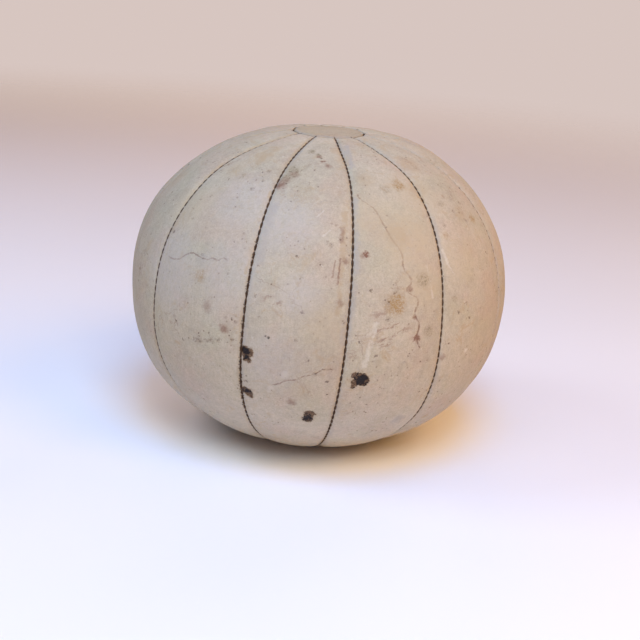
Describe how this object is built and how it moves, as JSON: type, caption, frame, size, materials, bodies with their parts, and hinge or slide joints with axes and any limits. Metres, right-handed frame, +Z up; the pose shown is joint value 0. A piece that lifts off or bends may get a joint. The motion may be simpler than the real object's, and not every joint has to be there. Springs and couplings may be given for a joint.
{
  "type": "medicine ball",
  "caption": "Stuffed leather medicine ball for lifting, throwing and floor exercise, sewn from meridional gores with a many-sided cap at each pole.",
  "frame": {"origin": "centre of the flat patch that the ball rests on, at floor level", "axes": "+Z up along the polar axis, through the middle of both caps; -Y through one long seam, with the other seams every 30 degrees round Z"},
  "size_m": [0.2994, 0.2994, 0.25],
  "materials": {
    "gore_leather": "dry pale chrome-tanned leather, scuffed and stained",
    "cap_leather": "the same leather, a little yellower",
    "waxed_thread": "dark waxed linen thread",
    "canvas_lining": "plain unbleached canvas",
    "hair_stuffing": "tightly packed animal hair"
  },
  "bodies": {
    "root": {"gore_01": "gore_leather", "gore_02": "gore_leather", "gore_03": "gore_leather", "gore_04": "gore_leather", "gore_05": "gore_leather", "gore_06": "gore_leather", "gore_07": "gore_leather", "gore_08": "gore_leather", "gore_09": "gore_leather", "gore_10": "gore_leather", "gore_11": "gore_leather", "gore_12": "gore_leather", "cap_top": "cap_leather", "cap_bottom": "cap_leather", "seam_thread_01": "waxed_thread", "seam_thread_02": "waxed_thread", "seam_thread_03": "waxed_thread", "seam_thread_04": "waxed_thread", "seam_thread_05": "waxed_thread", "seam_thread_06": "waxed_thread", "seam_thread_07": "waxed_thread", "seam_thread_08": "waxed_thread", "seam_thread_09": "waxed_thread", "seam_thread_10": "waxed_thread", "seam_thread_11": "waxed_thread", "closing_thread": "waxed_thread", "cap_thread_top": "waxed_thread", "cap_thread_bottom": "waxed_thread", "lining_01": "canvas_lining", "lining_02": "canvas_lining", "lining_03": "canvas_lining", "lining_04": "canvas_lining", "lining_05": "canvas_lining", "lining_06": "canvas_lining", "lining_07": "canvas_lining", "lining_08": "canvas_lining", "lining_09": "canvas_lining", "lining_10": "canvas_lining", "lining_11": "canvas_lining", "lining_12": "canvas_lining", "cap_lining_top": "canvas_lining", "cap_lining_bottom": "canvas_lining", "stuffing": "hair_stuffing"}
  },
  "joints": []
}
